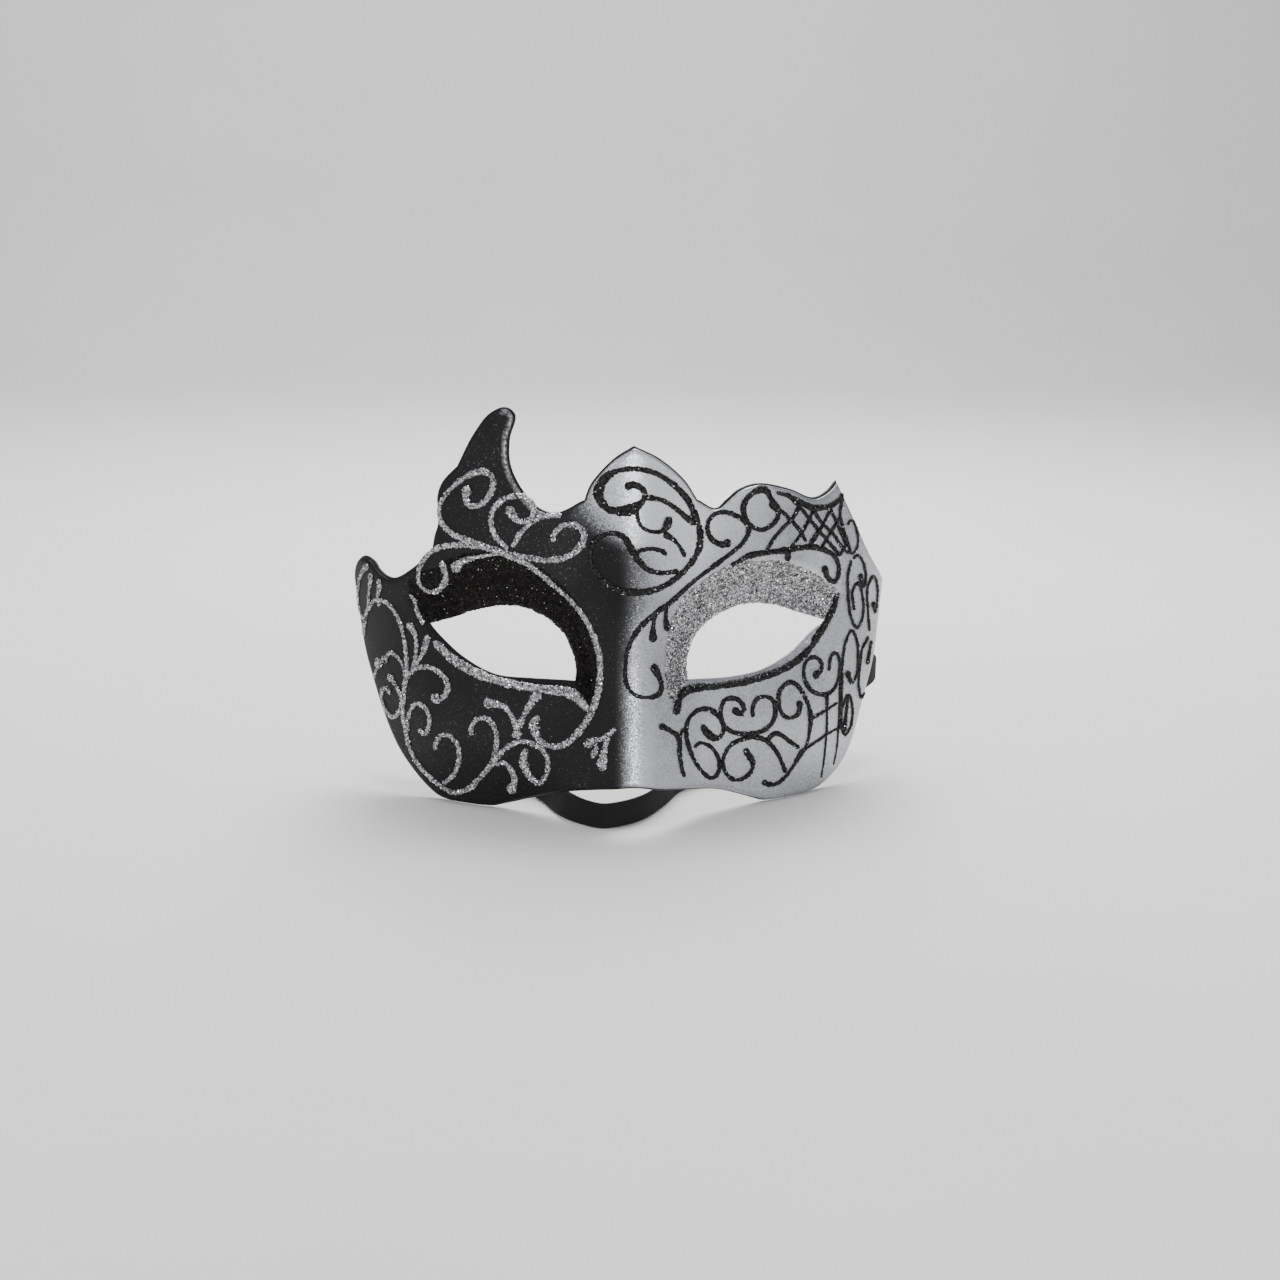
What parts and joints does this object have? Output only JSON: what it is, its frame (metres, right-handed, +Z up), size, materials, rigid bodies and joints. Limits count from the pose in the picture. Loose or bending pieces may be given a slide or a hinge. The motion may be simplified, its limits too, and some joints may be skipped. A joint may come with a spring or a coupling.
{
  "type": "carnival half mask",
  "caption": "Moulded half mask with a curved horn, a pointed crown, two almond eye openings, lid hollows, a nose ridge and a flat elastic loop, standing on its cheek edges.",
  "frame": {"origin": "on the surface that the mask stands on, under the middle of the mask shell's box, the elastic left out", "axes": "+Z up, -Y the way the mask faces, +X to the right as seen from the front, along the mask's width"},
  "size_m": [0.1686, 0.0749, 0.121],
  "materials": {
    "mask_shell": "sprayed satin paint, black on one half and silver on the other, with glitter lines",
    "elastic_band": "fine knitted ribs"
  },
  "bodies": {
    "root": {"mask_shell": "mask_shell", "elastic_band": "elastic_band"}
  },
  "joints": []
}
